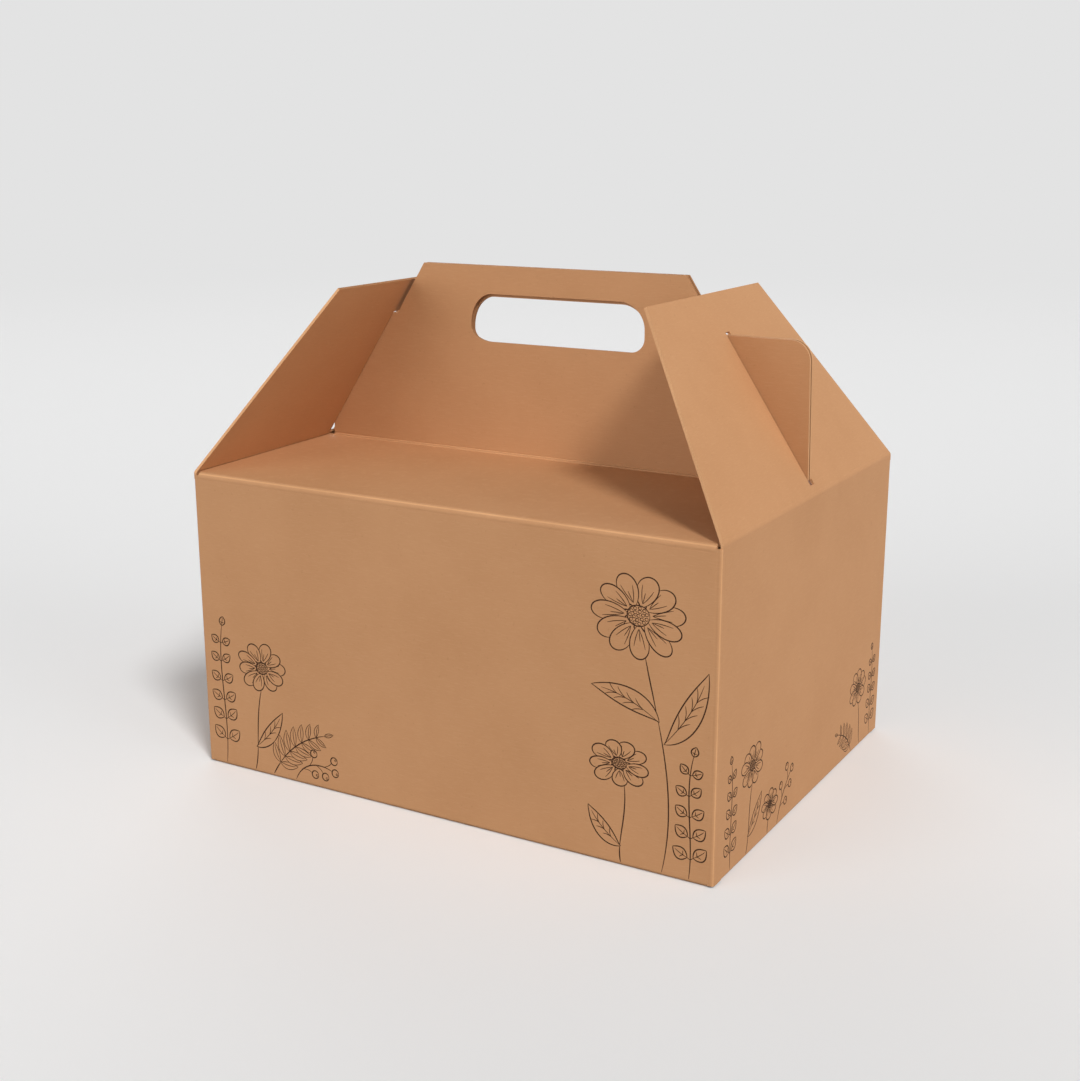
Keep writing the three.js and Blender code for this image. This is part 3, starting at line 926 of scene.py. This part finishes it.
def makeStudio():
    bpy.ops.mesh.primitive_plane_add(size=studio["floorSize"])
    floor = bpy.context.object
    floor.name = "floor"
    material, tree = newMaterial("studio_floor")
    # pale where it is seen, a middle grey where it throws light back onto the box
    mix = addNode(tree, "ShaderNodeMix", {
        "Factor": seenByCamera(tree), 6: linearColour(studio["floorBounce"]),
        7: linearColour(studio["floor"])}, data_type="RGBA")
    shader = addNode(tree, "ShaderNodeBsdfPrincipled", {
        "Base Color": mix.outputs[2], "Roughness": studio["floorRoughness"],
        "Specular IOR Level": studio["floorSpecular"]})
    # further off, what is seen is the backdrop's plain colour
    place = addNode(tree, "ShaderNodeTexCoord").outputs["Object"]
    distance = addNode(tree, "ShaderNodeVectorMath", {0: place}, operation="LENGTH").outputs["Value"]
    far = addNode(tree, "ShaderNodeMapRange", {
        "Value": distance, "From Min": studio["fadeFrom"], "From Max": studio["fadeTo"]},
        interpolation_type="SMOOTHSTEP").outputs["Result"]
    share = addNode(tree, "ShaderNodeMath", {0: far, 1: seenByCamera(tree)}, operation="MULTIPLY")
    plain = addNode(tree, "ShaderNodeEmission", {"Color": linearColour(studio["backdrop"])})
    surface = addNode(tree, "ShaderNodeMixShader", {
        0: share.outputs[0], 1: shader.outputs["BSDF"], 2: plain.outputs[0]})
    addNode(tree, "ShaderNodeOutputMaterial", {"Surface": surface.outputs[0]})
    floor.data.materials.append(material)
    for name, (strength, softness, height, turn) in studio["lights"].items():
        light = bpy.data.lights.new(name, "SUN")
        light.energy = strength
        light.angle = math.radians(softness)
        lamp = bpy.data.objects.new(name, light)
        lamp.rotation_euler = (0, math.radians(90 - height), -math.radians(turn))
        bpy.context.collection.objects.link(lamp)
    world = bpy.data.worlds.new("studio")
    bpy.context.scene.world = world
    world.use_nodes = True
    tree = world.node_tree
    tree.nodes.clear()
    ambient = addNode(tree, "ShaderNodeBackground", {
        "Color": (1, 1, 1, 1), "Strength": studio["ambient"]})
    backdrop = addNode(tree, "ShaderNodeBackground", {
        "Color": linearColour(studio["backdrop"]), "Strength": 1.0})
    mix = addNode(tree, "ShaderNodeMixShader", {
        0: seenByCamera(tree), 1: ambient.outputs[0], 2: backdrop.outputs[0]})
    addNode(tree, "ShaderNodeOutputWorld", {"Surface": mix.outputs[0]})


makeStudio()
bpy.context.scene.view_settings.view_transform = "Standard"
print("studio lit")
